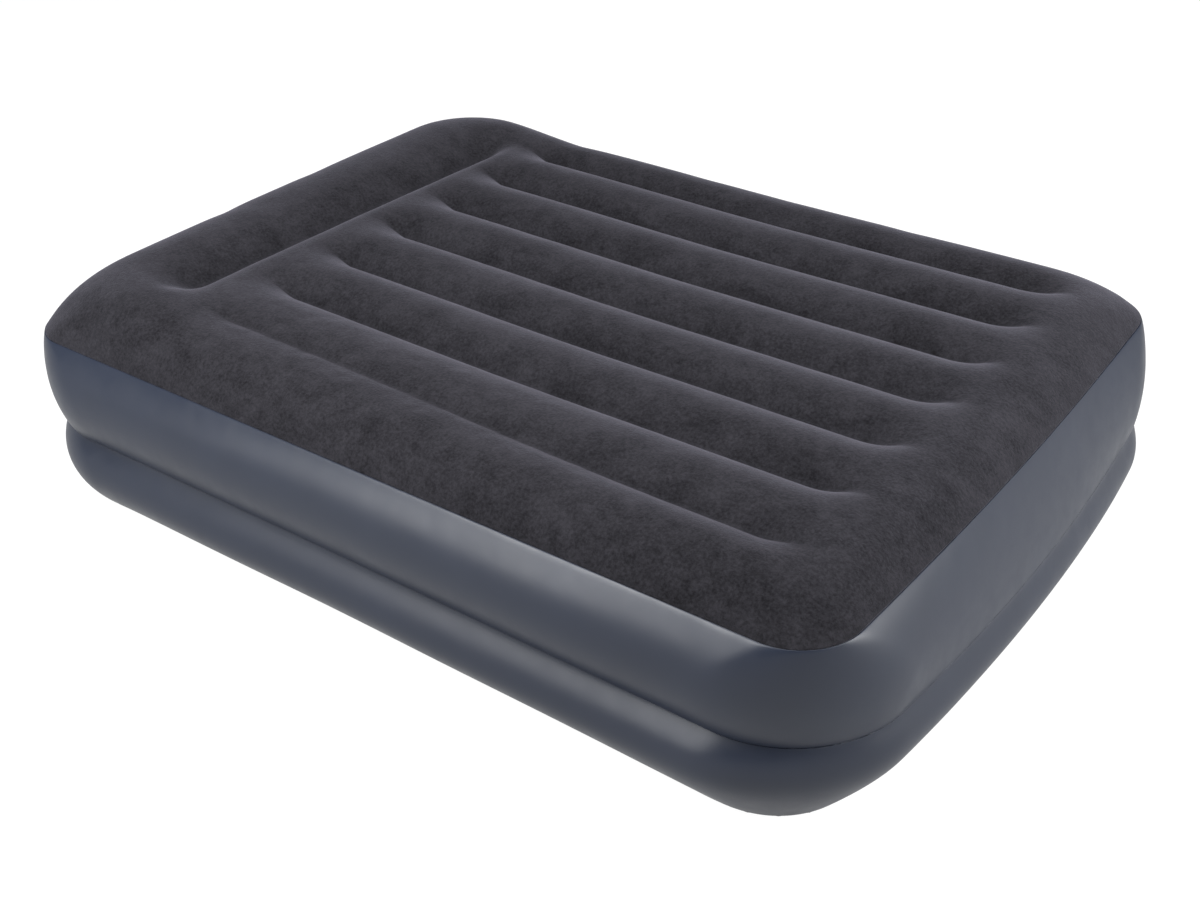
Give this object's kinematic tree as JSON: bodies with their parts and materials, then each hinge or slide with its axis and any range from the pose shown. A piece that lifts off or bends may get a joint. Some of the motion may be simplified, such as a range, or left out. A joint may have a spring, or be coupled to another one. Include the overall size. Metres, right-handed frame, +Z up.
{
  "type": "air mattress",
  "caption": "Double-height flocked air mattress with built-in pillow, lengthwise lanes and a mains pump in its head wall.",
  "frame": {"origin": "middle of the base, on the floor, at the centre of the inflated plan outline", "axes": "+X from the head (pillow and pump) to the foot, +Y across the bed, +Z up"},
  "size_m": [2.0766, 1.5146, 0.4906],
  "materials": {
    "flock": "charcoal flocked vinyl",
    "wall_vinyl": "satin blue-grey vinyl",
    "inner_vinyl": "plain vinyl",
    "dark_plastic": "moulded, fine texture",
    "grey_plastic": "moulded, satin",
    "rubber": "matt",
    "steel": "zinc plated",
    "bronze": "sintered",
    "copper": "varnished winding",
    "magnet": "sintered ferrite"
  },
  "bodies": {
    "mattress": {"top_sheet": "flock", "upper_wall": "wall_vinyl", "lower_wall": "wall_vinyl", "bottom_sheet": "wall_vinyl", "waist_sheet": "inner_vinyl", "upper_beam_1": "inner_vinyl", "upper_beam_2": "inner_vinyl", "upper_beam_3": "inner_vinyl", "upper_beam_4": "inner_vinyl", "upper_beam_5": "inner_vinyl", "upper_beam_6": "inner_vinyl", "upper_beam_7": "inner_vinyl", "pillow_beam": "inner_vinyl", "lower_beam_1": "inner_vinyl", "lower_beam_2": "inner_vinyl", "lower_beam_3": "inner_vinyl", "lower_beam_4": "inner_vinyl", "lower_beam_5": "inner_vinyl", "pump_collar": "dark_plastic", "pump_housing": "dark_plastic", "pump_faceplate": "dark_plastic", "cord_tray": "dark_plastic", "switch_body": "dark_plastic", "diverter_sleeve": "dark_plastic", "volute_front": "dark_plastic", "volute_rear": "dark_plastic", "motor_end_cap": "dark_plastic", "collar_gasket": "rubber", "cord_gland": "rubber", "supply_lead": "rubber", "motor_lead": "rubber", "faceplate_screw_1": "steel", "faceplate_screw_2": "steel", "faceplate_screw_3": "steel", "faceplate_screw_4": "steel", "door_hinge_pin": "steel", "rocker_pin": "steel", "motor_can": "steel", "motor_screw_1": "steel", "motor_screw_2": "steel", "front_bush": "bronze", "rear_bush": "bronze", "motor_magnet_1": "magnet", "motor_magnet_2": "magnet"},
    "dial": {"control_dial": "grey_plastic", "dial_shaft": "steel", "diverter_drum": "grey_plastic"},
    "cord_door": {"cord_door": "grey_plastic"},
    "rocker": {"power_rocker": "grey_plastic"},
    "fan": {"impeller": "grey_plastic", "motor_rotor": "copper"}
  },
  "joints": [
    {"name": "dial_turn", "type": "hinge", "parent": "mattress", "child": "dial", "pos_m": [-1.02, 0.388, 0.283], "axis": [1, 0, 0], "range_deg": [-90, 90]},
    {"name": "cord_door_hinge", "type": "hinge", "parent": "mattress", "child": "cord_door", "pos_m": [-1.02, 0.309, 0.3136], "axis": [0, 1, 0], "range_deg": [0, 105]},
    {"name": "power_rocker_tilt", "type": "hinge", "parent": "mattress", "child": "rocker", "pos_m": [-1.0185, 0.388, 0.233], "axis": [0, 0, 1], "range_deg": [0, 16]},
    {"name": "fan_spin", "type": "hinge", "parent": "mattress", "child": "fan", "pos_m": [-0.975, 0.388, 0.283], "axis": [1, 0, 0], "continuous": true}
  ]
}
